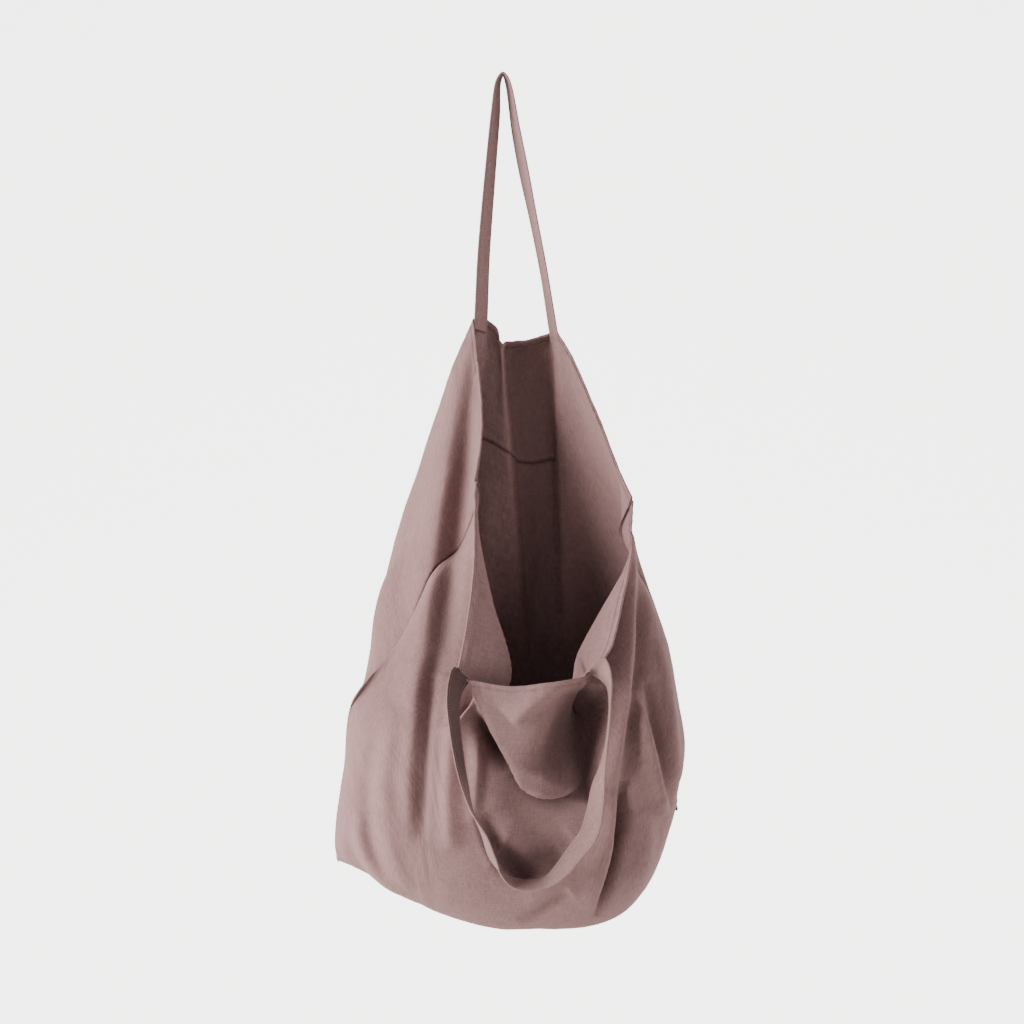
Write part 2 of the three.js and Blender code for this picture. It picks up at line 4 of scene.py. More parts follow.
import bpy
import numpy as np
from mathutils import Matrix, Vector


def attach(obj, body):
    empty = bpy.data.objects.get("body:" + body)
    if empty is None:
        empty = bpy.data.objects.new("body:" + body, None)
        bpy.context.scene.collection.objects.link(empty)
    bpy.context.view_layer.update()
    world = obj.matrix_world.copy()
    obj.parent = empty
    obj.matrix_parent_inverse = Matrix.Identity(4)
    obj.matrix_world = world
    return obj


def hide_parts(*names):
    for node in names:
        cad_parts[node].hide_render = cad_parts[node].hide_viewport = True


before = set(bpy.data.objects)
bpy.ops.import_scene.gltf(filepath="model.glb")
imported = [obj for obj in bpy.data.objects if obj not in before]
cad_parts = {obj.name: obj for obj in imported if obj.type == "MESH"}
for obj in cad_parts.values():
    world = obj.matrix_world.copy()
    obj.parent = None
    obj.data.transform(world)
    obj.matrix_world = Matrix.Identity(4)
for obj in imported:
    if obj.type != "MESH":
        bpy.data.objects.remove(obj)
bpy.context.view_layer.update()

MM = 0.001


def table(columns, rows):
    """Rows with named columns."""
    row_type = namedtuple("Row", columns)
    return [row_type(*row) for row in rows]


# Camera: level, straight in front of the bag.
CAMERA_AT = (0.0095, -3.2, -0.4589)
CAMERA_LENS = 107.1

# Studio: floor, backdrop and lights.
FLOOR_Z = -1.75
BACKDROP_Y = 4.0
STUDIO_HALF_WIDTH = 5.0
STUDIO_NEAR_Y = -6.0
BACKDROP_TOP = 3.5
WORLD_STRENGTH = 0.25
WORLD_TINT = (0.97, 0.98, 1.0, 1.0)
BACKDROP_GLOW = 4.0
KEY_WATTS = 150.0
KEY_AT = (-1.9, -0.75, -0.35)
KEY_AIM = (0.0, -0.05, -0.62)
KEY_SIZE = (1.3, 1.6)
FILL_STRENGTH = 3.5
FILL_FROM = (0.97, -0.15, 0.15)
FILL_SOFTNESS = math.radians(70)

# Cloth, in millimetres
CLOTH_HALF = 0.6
HEM_WIDTH = 7.0
HEM_EXTRA = 0.8
HEM_STITCH_AT = 5.4
HEM_DIP = 0.45
HEM_DIP_WIDTH = 0.8
HEM_PUCKER = 0.35
PUCKER_REACH = 2.2 * HEM_WIDTH
PANEL_HALF_WIDTH = 200
SPREAD_POWER = 0.8
HEM_SHARE = 0.07
SEAM_DIP = 2.8
SEAM_DIP_WIDTH = 1.0
SEAM_COLUMNS = (0, 0.4, 0.8, 1.3, 2.0, 3.2)
SEAM_FOLD_WIDTH = 8
SEAM_FOLD_EXTRA = 0.35
SEAM_THIN_REACH = 3

# Grid rows in the hem, by their distance from the rim, and which of them carries the stitches
HEM_ROWS = np.array(
    [0, 0.8, 2, 3.6, 4.6, HEM_STITCH_AT, 6.2, HEM_WIDTH - 0.3, HEM_WIDTH + 0.3, HEM_WIDTH + 2]
)
HEM_STITCH_ROW = 5

# Painted shade in the cloth's colour along seams, stitch lines, fold valleys, under the cowl and on the
# front strap's inner face, and a painted highlight on ridges: the share taken off (added, for the
# highlight), and how far it reaches in millimetres
SEAM_SHADE = 0.6
SEAM_LINE = 0.9
STITCH_SHADE = 0.22
YOKE_SHADE = 0.35
YOKE_LINE = 0.9
COWL_SHADE = 0.7
COWL_SHADE_REACH = 14
COWL_SHADE_EDGE = 4
COWL_SHADE_TOP = 20
STRAP_SHADE = 0.6
STRAP_SHADE_REACH = 170
STRAP_SHADE_FULL = 0.6 * STRAP_SHADE_REACH
VALLEY_SHADE = 0.42
VALLEY_FULL = 20
RIDGE_HIGHLIGHT = 0.08
RIDGE_FULL = 12

# Small dents of washed linen: their size across and down the cloth, and their depth.
DENTS = table(
    "across down depth",
    [
        (42, 55, 0.9),
        (17, 24, 0.45),
        (7, 9, 0.18),
    ],
)
# Puckers of a stitched hem: their size along and across it, and their share of HEM_PUCKER.
PUCKERS = table(
    "along across share",
    [
        (4.5, 9, 1.0),
        (13, 20, 0.8),
    ],
)
NOISE_GRID = 64
DENT_OFFSET = 1000
PUCKER_OFFSET = 200
FRONT_DENT_SEED = 3
FRONT_PUCKER_SEED = 21
BACK_DENT_SEED = 11
BACK_PUCKER_SEED = 31

# Rim of the front panel, from the left side seam to the right one.
FRONT_RIM = table(
    "c x y z roll_x roll_y roll_z turn bulge sag corner",
    [
        (-200, -30, -70, -427, 12, 8, -7, -97, 8, -30, False),
        (-160, -29, -86, -462, 14, 9, -14, -82, 0, -18, False),
        (-120, -32, -104, -530, 31, 12, -17, -62, 0, -6, False),
        (-92, -40, -118, -590, 57, 20, -28, -40, 0, 0, False),
        (-78, -46, -124, -618, 46, 22, -40, -27, 0, 0, True),
        (-60, -32, -128, -628, 4, 0, -14, -19, 0, 0, True),
        (0, 14, -132, -634, 0, 0, -12, 0, 0, 0, False),
        (60, 84, -123, -624, -2, 0, -12, 20, 0, 0, True),
        (78, 101, -117, -608, -38, 20, -32, 29, 0, 0, True),
        (92, 109, -108, -590, -40, 16, -18, 38, 0, 0, False),
        (120, 119, -88, -540, -24, 12, -14, 57, 4, 0, False),
        (160, 132, -68, -484, -9, 6, -12, 76, 2, 5, False),
        (200, 135, -58, -446, -17, 10, -26, 97, 2, 12, False),
    ],
)

# Rim of the back panel, from the left side seam over the two strap ends to the right side seam.
BACK_RIM = table(
    "c x y z roll_x roll_y roll_z turn bulge sag corner",
    [
        (-200, -30, -70, -427, 12, 8, -7, -97, 8, -30, False),
        (-170, -23, -56, -386, 1, 4, -8, -110, -28, -22, False),
        (-140, -22, -44, -352, -7, 2, -8, -121, -27, -8, False),
        (-105, -26, -29, -303, -10, 0, -8, -136, -32, 0, False),
        (-78, -31, -19, -257, -12, 0, -8, -150, -33, 0, True),
        (-60, -16, -1, -257, 1, 0, -8, -162, -12, 0, True),
        (-50, -5.5, -2, -266.5, 1, 0, -8, -172, -6, 0, False),
        (-40, -2, -3, -282, 1, 0, -8, -182, 0, 0, False),
        (-24, 3, 14, -279, 0, 0, -8, -184, 0, 0, False),
        (20, 26, 16, -277, 0, 0, -8, -187, 0, 0, False),
        (60, 49, 14, -270, 0, 0, -8, -190, 0, 0, True),
        (78, 57, -6, -270, 1, 0, -8, -200, 0, 0, True),
        (105, 73, -14, -297, 1, 0, -8, -215, 0, 0, False),
        (150, 103, -32, -368, 1, 0, -8, -238, 0, 0, False),
        (180, 121, -47, -415, -2, 2, -10, -252, 0, 0, False),
        (200, 135, -58, -446, -17, 10, -26, -263, 2, 12, False),
    ],
)

# Rings of the body below the mouth, from the chest to the bottom seam.
RINGS = table(
    "left right front back z_left z_right z_front z_back square curl_left curl_right",
    [
        (-153, 180, -124, 18, -650, -648, -692, -640, 0.85, 2, 2),
        (-164, 188, -132, 20, -724, -696, -756, -715, 0.85, 2, 2),
        (-171, 183, -132, 20, -772, -734, -815, -785, 0.85, 1.8, 3),
        (-173, 181, -114, 18, -802, -748, -862, -833, 0.8, 1.6, 4.6),
        (-173, 181, -70, 10, -814, -757, -887, -862, 0.8, 1.25, 4.4),
        (-173, 181, -17, -14, -822, -766, -878, -878, 1, 1.35, 4.4),
    ],
)

# Seam across the back: its place along each column, 0 at the rim and 1 at the bottom.
BACK_SEAM = table(
    "c v corner",
    [
        (-200, 0.194, False),
        (-46, 0.193, False),
        (-20, 0.2005, False),
        (66, 0.203, False),
        (200, 0.203, False),
    ],
)
UPPER_BACK_SPAN = (-72, 66)

# The left side seam slides on the cloth where a crease takes it along: how far, and round which
# height.
SEAM_SLIDES = table(
    "x y z at reach",
    [
        (2, 0, 24, -545, 38),
        (-2, 0, -5, -630, 40),
        (1, -37, 0, -635, 46),
    ],
)
SEAM_SLIDE_WIDTH = 40

# The middle of the back lies deeper than the wings on either side, down to part of its height.
RECESS_LEFT = -34
RECESS_RIGHT = 62
RECESS_FOLD = 8
RECESS_DEPTH = 15
RECESS_START_V = 0.02
RECESS_FULL_V = 0.22
RECESS_END_V = 0.42

# Folds seen from the front, each along a curve through three places.
# left, right: half widths on either side, going from the first place to the last.
# rise: minus for a valley.
FOLDS = table(
    "fold x0 z0 x1 z1 x2 z2 left right rise",
    [
        ("roll down the left side", -37, -280, -63, -465, -87, -660, 24, 9, 9),
        ("roll below that", -82, -610, -91, -700, -96, -800, 14, 6, 5),
        ("valley beside the roll", -30, -300, -47, -455, -66, -625, 9, 14, -9),
        ("valley below that", -69, -600, -79, -690, -83, -790, 6, 7, -7),
        ("ridge in front of the valley", -44, -630, -52, -712, -52, -800, 9, 12, 8),
        ("ridge above the left corner", -106, -660, -118, -753, -96, -845, 12, 10, 5),
        ("valley above the left corner", -128, -690, -138, -760, -118, -838, 8, 8, -3),
        ("crease at the left corner", -160, -790, -146, -826, -116, -856, 6, 6, -5),
        ("ridge beside the left corner", -146, -765, -136, -812, -104, -852, 7, 5, 5),
        ("ridge down the right side", 130, -480, 125, -605, 109, -740, 24, 6, 14),
        ("valley behind it", 138, -540, 133, -645, 120, -735, 6, 10, -6),
        ("deep valley at the right", 121, -730, 115, -795, 95, -870, 3, 6, -16),
        ("ridge left of it", 108, -740, 106, -797, 86, -864, 13, 4, 9),
        ("lobe right of it", 142, -760, 144, -805, 132, -845, 13, 10, 8),
        ("ridge to the right corner", 135, -640, 148, -700, 166, -768, 8, 4, 12),
        ("crease beside that ridge", 146, -632, 158, -692, 173, -758, 4, 7, -9),
        ("ridge at the right side", 160, -590, 172, -670, 180, -735, 6, 6, 6),
        ("crease under the loose strap", 68, -842, 44, -858, 16, -874, 6, 9, -8),
        ("valley left of the cowl", -29, -653, -13, -683, 12, -713, 12, 3, -16),
        ("ridge behind the loose strap", -27, -655, -24, -700, -30, -775, 12, 5, 7),
        ("valley right of the cowl", 100, -636, 98, -690, 86, -752, 34, 7, -30),
        ("ridge across the cowl", 84, -622, 46, -641, 10, -668, 18, 7, 15),
        ("hollow below that ridge", 92, -640, 66, -680, 44, -722, 18, 26, -26),
        ("small crease in the cowl", 26, -722, 40, -726, 52, -730, 3, 3, -3),
        ("valley inside the strap", -24, -764, 14, -826, 68, -808, 4, 20, -23),
        ("hollow inside the strap", -2, -800, 36, -810, 74, -790, 16, 20, -15),
    ],
)
# Soft folds of the back, hanging from the two strap ends; rise: outwards, to the rear.
BACK_FOLDS = table(
    "fold x0 z0 x1 z1 x2 z2 left right rise",
    [
        ("drape from the left strap end", -34, -330, -62, -500, -100, -740, 14, 24, 6),
        ("valley inside it", -16, -420, -28, -560, -46, -760, 22, 16, -6),
        ("drape below the seam", 22, -460, 26, -600, 24, -780, 16, 18, 4),
        ("drape from the right strap end", 62, -340, 92, -500, 130, -720, 24, 14, 6),
        ("valley inside that", 48, -420, 66, -560, 88, -760, 16, 22, -6),
        ("sag above the bottom", -120, -770, 0, -822, 130, -770, 12, 18, 5),
    ],
)
BACK_FOLD_DEPTH = (-12, 8)
FOLD_DEPTH_FULL = -25
FOLD_DEPTH_NONE = 0
FOLD_SAMPLES = 40
BODY_AXIS = (10, 100)

# Cowl: a flap of slack cloth below the front top edge, seen from the front. Its left edge runs straight
# from the left strap end to the low corner, and its lower edge hangs in an arc.
COWL_TOP_LEFT = (-44, -622)
COWL_LOW_LEFT = (14, -716)
COWL_LOWEST = (58, -745)
COWL_ARC = 0.012
COWL_RIGHT = 104
COWL_FALL = 66
COWL_RIM_Z = -628
COWL_FORWARD = 24
COWL_HANG_LEFT = 0.45
COWL_HANG_DOWN = 0.55
COWL_HANG_REACH = 30
COWL_LEFT_EDGE = 7
COWL_LOWER_EDGE = 9
COWL_TOP_SHARE = 0.2
COWL_TOP_REACH = 60
COWL_COLUMNS = (-62, 64)
COWL_COLUMN_BLEND = 6

# Straps: centre line, and the direction across the tape from its one edge to the other.
STRAP_WIDTH = 22
STRAP_THICKNESS = 2.0
BACK_STRAP = table(
    "x y z across_x across_y across_z",
    [
        (-24, -12, -269, -13.2, -17.6, 0),
        (-23, -10.5, -256, -13.2, -17.6, 0),
        (-20.2, -5, -190, -12.3, -18.2, 0),
        (-14.4, -1, -115, -11, -19, 0),
        (-8, 0, -42, -9, -20, 0),
        (-4.5, 0, -6, -4, -21.6, 0),
        (0, 0, 1.2, 0, -22, 0),
        (4.5, 0, -6, 4, -21.6, 0),
        (14, 0, -60, 8.4, -20.3, 2),
        (21.5, 1, -99, 9.5, -19.8, 1),
        (32, 2, -150.5, 7.4, -20.7, 1),
        (43, 3, -207, 6.8, -20.9, 1),
        (53, 3, -269, 7.9, -20.5, 0),
        (55, 2, -280, 7.9, -20.5, 0),
    ],
)
FRONT_STRAP = table(
    "x y z across_x across_y across_z",
    [
        (-36, -120, -630, -14.2, 4.1, 15),
        (-41, -127, -623, -15, 1, 12),
        (-46.5, -137, -632, -13.5, -11, 8),
        (-49.5, -147, -651, -12.5, -17.2, 4),
        (-47.6, -153, -676, -11, -18.8, 3),
        (-43, -156, -708, -9, -20, 0),
        (-37.5, -157, -733, -6, -21, -2),
        (-30.7, -156, -757, 0, -22, -2),
        (-17.5, -154, -784, 6, -21, -1),
        (-10.5, -152, -804, 8, -20.4, -2),
        (-1, -150, -821, 2, -21.5, -4),
        (12, -150, -830.5, 1, -20, -8.5),
        (30.6, -151, -832.6, 0, -20, -9),
        (44.6, -152, -829, 2, -19.5, -10),
        (57, -154, -819, 7, -16.3, -13),
        (75, -156, -796.5, 13, -12.9, -12),
        (86, -158, -781, 17, -12.6, -6),
        (92, -159, -760, 17, -13.6, 3),
        (96, -158, -732, 13, -17, 5),
        (100.4, -156, -711.6, 5.5, -21, 4),
        (105, -152, -686, 1, -22, 2),
        (108, -146, -652, 0.5, -22, 0),
        (107, -138, -629, 5, -20, 6),
        (101, -128, -618, 12, -12, 14),
        (94, -121.5, -614, 17, 6, 17),
        (88, -113, -622, 17, 6, 17),
    ],
)

# Stitches, in millimetres, and the least and most share of their size that one has
STITCH_PITCH = 2.9
STITCH_LENGTH = 2.2
STITCH_WIDTH = 0.55
STITCH_LIFT = 0.1
STITCH_SEED = 5
STITCH_LEAST = (0.9, 0.9, 0.8)
STITCH_MOST = (1.1, 1.1, 1.1)
STRAP_STITCH_IN = 2.4

# Mesh density
PANEL_COLUMNS = 240
PANEL_ROWS = 140
UPPER_ROWS = 44
LOWER_ROWS = 120
STRAP_STEPS = 220
STRAP_ACROSS = 10
STRAP_EDGE_STEPS = 4
ARC_SAMPLES = 400

# Linen: sizes of its patterns in millimetres, their shares in its shade, and their bumps as strength
# and metres.
# Real threads lie about half a millimetre apart, too fine to show here, so they are drawn coarser.
LINEN_THREAD = 0.85
TAPE_THREAD = 0.8
SLUB_STRETCH = 12
STREAK_SHARE = 0.6
BASE_SHARE = 0.13
CLOUD_SIZE = 35.7
CLOUD_SHARE = 0.24
FLECK_SIZE = 1.613
FLECK_SHARE = 0.32
CRUMPLE_SIZE = 7.143
CRUMPLE_BUMP = (0.35, 0.002)
STREAK_BUMP = (0.35, 0.0006)
WEAVE_BUMP = (0.3, 0.0003)
TWIST_SIZE = 1.4286
TWIST_SHARE = 0.7
TWIST_BASE = 0.6

# Finish: how matt the linen is, its faint shine, and the fuzz on its face
LINEN_ROUGHNESS = 0.95
LINEN_SHINE = 0.15
LINEN_FUZZ = 0.25
LINEN_FUZZ_ROUGHNESS = 0.5
THREAD_ROUGHNESS = 0.7

# Colours, as sRGB hex
LINEN = "#7F6260"
STRAP_LINEN = "#7C605D"
THREAD = "#8A6F6B"
PALE = "#F1F0EE"
PALE_ROUGHNESS = 0.9


def mix(a, b, share):
    return a + (b - a) * share


def smooth(start, end, value):
    """Smoothly from 0 to 1 as the value goes from start to end."""
    t = np.clip((value - start) / (end - start), 0, 1)
    return t * t * (3 - 2 * t)


def unit(vectors):
    return vectors / np.maximum(np.linalg.norm(vectors, axis=-1, keepdims=True), 1e-9)


def along(rows, name, at):
    """Smooth curve through one column of a table, at many places. A corner row keeps its kink."""
    c = np.array([row.c for row in rows], float)
    value = np.array([getattr(row, name) for row in rows], float)
    kink = np.array([row.corner for row in rows])
    kink[0] = kink[-1] = True
    i = np.clip(np.searchsorted(c, at) - 1, 0, len(c) - 2)
    span = c[i + 1] - c[i]
    slope = (value[i + 1] - value[i]) / span
    through = np.zeros_like(value)
    through[1:-1] = (value[2:] - value[:-2]) / (c[2:] - c[:-2])
    slope_a = np.where(kink[i], slope, through[i])
    slope_b = np.where(kink[i + 1], slope, through[i + 1])
    t = np.clip((at - c[i]) / span, 0, 1)
    t2 = t * t
    t3 = t2 * t
    return (
        (2 * t3 - 3 * t2 + 1) * value[i]
        + (t3 - 2 * t2 + t) * span * slope_a
        + (3 * t2 - 2 * t3) * value[i + 1]
        + (t3 - t2) * span * slope_b
    )


def spline(points, v):
    """Centripetal curve through each row of points (n, k, 3), at places v (n, m) from 0 to 1."""
    k = points.shape[1]
    first = 2 * points[:, :1] - points[:, 1:2]
    last = 2 * points[:, -1:] - points[:, -2:-1]
    padded = np.concatenate([first, points, last], axis=1)
    place = v * (k - 1)
    i = np.clip(np.floor(place).astype(int), 0, k - 2)
    t = (place - i)[..., None]
    p0, p1, p2, p3 = (np.take_along_axis(padded, (i + step)[..., None], axis=1) for step in range(4))
    d0, d1, d2 = (
        np.maximum(np.sqrt(np.linalg.norm(b - a, axis=-1, keepdims=True)), 1e-4)
        for a, b in ((p0, p1), (p1, p2), (p2, p3))
    )
    start = ((p1 - p0) / d0 - (p2 - p0) / (d0 + d1) + (p2 - p1) / d1) * d1
    end = ((p2 - p1) / d1 - (p3 - p1) / (d1 + d2) + (p3 - p2) / d2) * d1
    t2 = t * t
    t3 = t2 * t
    return (
        (2 * t3 - 3 * t2 + 1) * p1
        + (t3 - 2 * t2 + t) * start
        + (3 * t2 - 2 * t3) * p2
        + (t3 - t2) * end
    )


def ring_points(turn):
    """Points of every ring at angles round the body, in degrees."""
    side = np.sin(np.radians(turn))
    ahead = np.cos(np.radians(turn))
    points = []
    for ring in RINGS:
        x = mix(ring.left, ring.right, (1 + np.sign(side) * np.abs(side) ** ring.square) / 2)
        y = mix(ring.back, ring.front, (1 + np.sign(ahead) * np.abs(ahead) ** ring.square) / 2)
        side_z = np.where(side < 0, ring.z_left, ring.z_right)
        curl = np.where(side < 0, ring.curl_left, ring.curl_right)
        middle_z = np.where(ahead > 0, ring.z_front, ring.z_back)
        points.append(np.stack([x, y, mix(middle_z, side_z, np.abs(side) ** curl)], axis=-1))
    return np.stack(points, axis=1)


def cloth_columns(rim, c):
    """Guide points of the cloth's columns: hem, turn of the hem, middle and rings."""
    rings = ring_points(along(rim, "turn", c))
    hem = np.stack([along(rim, name, c) for name in ("x", "y", "z")], axis=-1)
    roll = np.stack([along(rim, name, c) for name in ("roll_x", "roll_y", "roll_z")], axis=-1) + hem
    roll = mix(roll, rings[:, 0], HEM_SHARE)
    spread = np.array([0.5**SPREAD_POWER, 0.5**SPREAD_POWER, 0.5])
    middle = mix(roll, rings[:, 0], spread)
    middle[:, 0] += along(rim, "bulge", c)
    middle[:, 2] += along(rim, "sag", c)
    return np.concatenate([np.stack([hem, roll, middle], axis=1), rings], axis=1)


def fold_rise(points, folds):
    """How far some folds lift the cloth at each point."""
    rise = np.zeros(points.shape[:-1])
    t = np.linspace(0, 1, FOLD_SAMPLES)
    for fold in folds:
        bend_x = 2 * fold.x1 - (fold.x0 + fold.x2) / 2
        bend_z = 2 * fold.z1 - (fold.z0 + fold.z2) / 2
        line_x = (1 - t) ** 2 * fold.x0 + 2 * t * (1 - t) * bend_x + t**2 * fold.x2
        line_z = (1 - t) ** 2 * fold.z0 + 2 * t * (1 - t) * bend_z + t**2 * fold.z2
        run_x = np.gradient(line_x)
        run_z = np.gradient(line_z)
        away_x = points[..., 0, None] - line_x
        away_z = points[..., 2, None] - line_z
        near = np.argmin(away_x**2 + away_z**2, axis=-1)
        dx = points[..., 0] - line_x[near]
        dz = points[..., 2] - line_z[near]
        run = np.hypot(run_x, run_z)[near]
        side = (run_x[near] * dz - run_z[near] * dx) / run
        beyond = (run_x[near] * dx + run_z[near] * dz) / run**2
        place = near + beyond
        past_end = run * (np.maximum(0, -place) + np.maximum(0, place - (FOLD_SAMPLES - 1)))
        away = np.hypot(side, past_end) / np.where(side > 0, fold.right, fold.left)
        share = np.clip(place / (FOLD_SAMPLES - 1), 0, 1)
        rise += fold.rise * np.sqrt(np.sin(np.pi * share).clip(0)) * np.exp(-(away**2))
    return rise


def front_rise(points):
    """How far the folds of the front lift the cloth: only in front of a depth."""
    return fold_rise(points, FOLDS) * (1 - smooth(FOLD_DEPTH_FULL, FOLD_DEPTH_NONE, points[..., 1]))


def folded(points):
    """The cloth with its folds, moved away from the body's upright line, and to the rear on the back."""
    out = points.copy()
    out[..., 0] -= BODY_AXIS[0]
    out[..., 1] -= BODY_AXIS[1]
    out[..., 2] = 0
    moved = points + unit(out) * front_rise(points)[..., None]
    moved[..., 1] += fold_rise(points, BACK_FOLDS) * smooth(*BACK_FOLD_DEPTH, points[..., 1])
    return moved


def seam_slide(c, points):
    """How far the cloth next to the left side seam slides with it."""
    shift = np.zeros_like(points)
    near = np.exp(-(((c + PANEL_HALF_WIDTH) / SEAM_SLIDE_WIDTH) ** 2))
    for slide in SEAM_SLIDES:
        share = near * np.exp(-(((points[..., 2] - slide.at) / slide.reach) ** 2))
        shift[..., 0] += slide.x * share
        shift[..., 1] += slide.y * share
        shift[..., 2] += slide.z * share
    return shift


def cowl_sides(points):
    """Distances inside the left edge and above the lower edge of the cowl, seen from the front."""
    x = points[..., 0]
    z = points[..., 2]
    run = np.subtract(COWL_LOW_LEFT, COWL_TOP_LEFT)
    run = run / np.linalg.norm(run)
    from_left = run[0] * (z - COWL_TOP_LEFT[1]) - run[1] * (x - COWL_TOP_LEFT[0])
    above = z - COWL_LOWEST[1] - COWL_ARC * (x - COWL_LOWEST[0]) ** 2
    return from_left, above


def cowl_columns(c):
    """1 on the columns that the cowl takes in."""
    first, last = COWL_COLUMNS
    blend = COWL_COLUMN_BLEND
    return smooth(first - blend, first + blend, c) * smooth(last + blend, last - blend, c)


def cowl_shift(c, points):
    """How far the slack flap moves the cloth: forward, and over its own left and lower edges."""
    from_left, above = cowl_sides(points)
    inside = smooth(0, COWL_LEFT_EDGE, from_left) * smooth(0, COWL_LOWER_EDGE, above)
    inside = inside * smooth(0, COWL_FALL, COWL_RIGHT - points[..., 0])
    inside = inside * cowl_columns(c)
    below_rim = smooth(0, COWL_TOP_REACH, COWL_RIM_Z - points[..., 2])
    forward = COWL_FORWARD * inside * mix(COWL_TOP_SHARE, 1, below_rim)
    left = COWL_HANG_LEFT * forward * (1 - smooth(0, COWL_HANG_REACH, from_left))
    down = COWL_HANG_DOWN * forward * (1 - smooth(0, COWL_HANG_REACH, above))
    return np.stack([-left, -forward, -down], axis=-1)


def value_noise(u, v, seed):
    """Smooth noise from -1 to 1 with cells of size 1."""
    grid = np.random.default_rng(seed).uniform(-1, 1, (NOISE_GRID, NOISE_GRID))
    iu = np.floor(u).astype(int)
    iv = np.floor(v).astype(int)
    fu = u - iu
    fv = v - iv
    fu = fu * fu * (3 - 2 * fu)
    fv = fv * fv * (3 - 2 * fv)
    a = grid[iu % NOISE_GRID, iv % NOISE_GRID]
    b = grid[(iu + 1) % NOISE_GRID, iv % NOISE_GRID]
    c = grid[iu % NOISE_GRID, (iv + 1) % NOISE_GRID]
    d = grid[(iu + 1) % NOISE_GRID, (iv + 1) % NOISE_GRID]
    return mix(mix(a, b, fu), mix(c, d, fu), fv)


def running_length(points):
    """Length along each row of points, from its first one."""
    steps = np.linalg.norm(np.diff(points, axis=1), axis=-1)
    return np.concatenate([np.zeros((len(points), 1)), np.cumsum(steps, axis=1)], axis=1)


def below_hem(end, rows):
    """Distances from the rim: those of the hem, then even steps to an end."""
    return np.concatenate([HEM_ROWS, np.linspace(HEM_ROWS[-1], end, rows - len(HEM_ROWS) + 2)[1:]])


def front_places(columns):
    """Places v along the front's columns, from the rim to the bottom."""
    fine = np.linspace(0, 1, ARC_SAMPLES)
    places = []
    for length in running_length(spline(columns, np.tile(fine, (len(columns), 1)))):
        places.append(np.interp(below_hem(length[-1], PANEL_ROWS), length, fine))
    return np.array(places)


def back_places(columns, seam_v):
    """Places v along the back's columns: to the seam, then even steps to the bottom."""
    fine = np.linspace(0, 1, ARC_SAMPLES)
    places = []
    for length, v in zip(running_length(spline(columns, np.tile(fine, (len(columns), 1)))), seam_v):
        seam = np.interp(v, fine, length)
        lower = np.linspace(seam, length[-1], LOWER_ROWS + 1)[1:]
        places.append(np.interp(np.concatenate([below_hem(seam, UPPER_ROWS), lower]), length, fine))
    return np.array(places)


def recess_shift(c, v):
    """How far back the middle of the back lies, behind the sharp fold on either side of it."""
    left = smooth(RECESS_LEFT - RECESS_FOLD, RECESS_LEFT, c)
    right = smooth(RECESS_RIGHT + RECESS_FOLD, RECESS_RIGHT, c)
    down = smooth(RECESS_END_V, RECESS_FULL_V, v) * smooth(0, RECESS_START_V, v)
    return RECESS_DEPTH * left * right * down


def grid_normals(points, sign):
    across = np.gradient(points, axis=0)
    down = np.gradient(points, axis=1)
    return unit(np.cross(down, across)) * sign


def cloth_lengths(c, points):
    """Places on the flat cloth, across and down from the rim."""
    down = running_length(points)
    across = np.broadcast_to(c[:, None], down.shape)
    return np.stack([across, down], axis=-1)


def wrinkles(lengths, seed):
    """Small soft dents of washed linen, in millimetres."""
    u = lengths[..., 0] + DENT_OFFSET
    v = lengths[..., 1] + DENT_OFFSET
    dents = np.zeros_like(u)
    for k, dent in enumerate(DENTS):
        dents += dent.depth * value_noise(u / dent.across, v / dent.down, seed + k)
    return dents


def mesh_object(name, points, faces, uv, material, tone=None):
    mesh = bpy.data.meshes.new(name)
    mesh.from_pydata((np.asarray(points) * MM).tolist(), [], faces)
    if tone is None:
        tone = np.ones(len(points))
    # The tone attribute carries the painted shade and painted highlight of a piece
    shade = mesh.attributes.new("tone", "FLOAT", "POINT")
    shade.data.foreach_set("value", np.asarray(tone, np.float32))
    layer = mesh.uv_layers.new(name="cloth")
    index = np.zeros(len(mesh.loops), np.int32)
    mesh.loops.foreach_get("vertex_index", index)
    layer.data.foreach_set("uv", (np.asarray(uv) * MM)[index].astype(np.float32).ravel())
    mesh.polygons.foreach_set("use_smooth", np.ones(len(mesh.polygons), bool))
    mesh.materials.append(material)
    obj = bpy.data.objects.new(name, mesh)
    bpy.context.scene.collection.objects.link(obj)
    return obj


def cloth_piece(name, points, sign, thick_in, uv, tone, material, keep=None):
    """Closed sheet from a grid of middle points: outer and inner face, and a wall at each free edge."""
    normals = grid_normals(points, sign)
    outer = points + normals * CLOTH_HALF
    inner = points - normals * thick_in[..., None]
    n, m = points.shape[:2]
    if keep is None:
        keep = np.ones((n - 1, m - 1), bool)
    number = np.arange(n * m).reshape(n, m)
    faces = []
    edges = {}
    for i, j in zip(*np.nonzero(keep)):
        quad = [number[i, j], number[i, j + 1], number[i + 1, j + 1], number[i + 1, j]]
        if sign < 0:
            quad.reverse()
        faces.append(tuple(int(k) for k in quad))
        for a, b in zip(quad, quad[1:] + quad[:1]):
            if (b, a) in edges:
                del edges[(b, a)]
            else:
                edges[(a, b)] = True
    total = n * m
    back = [tuple(k + total for k in reversed(face)) for face in faces]
    wall = [(int(b), int(a), int(a) + total, int(b) + total) for a, b in edges]
    all_faces = faces + back + wall
    used = np.zeros(2 * total, bool)
    used[[k for face in all_faces for k in face]] = True
    new = np.cumsum(used) - 1
    all_faces = [tuple(int(new[k]) for k in face) for face in all_faces]
    all_points = np.concatenate([outer.reshape(-1, 3), inner.reshape(-1, 3)])[used]
    all_uv = np.concatenate([uv.reshape(-1, 2), uv.reshape(-1, 2)])[used]
    all_tone = np.concatenate([tone.reshape(-1), tone.reshape(-1)])[used]
    return mesh_object(name, all_points, all_faces, all_uv, material, all_tone)


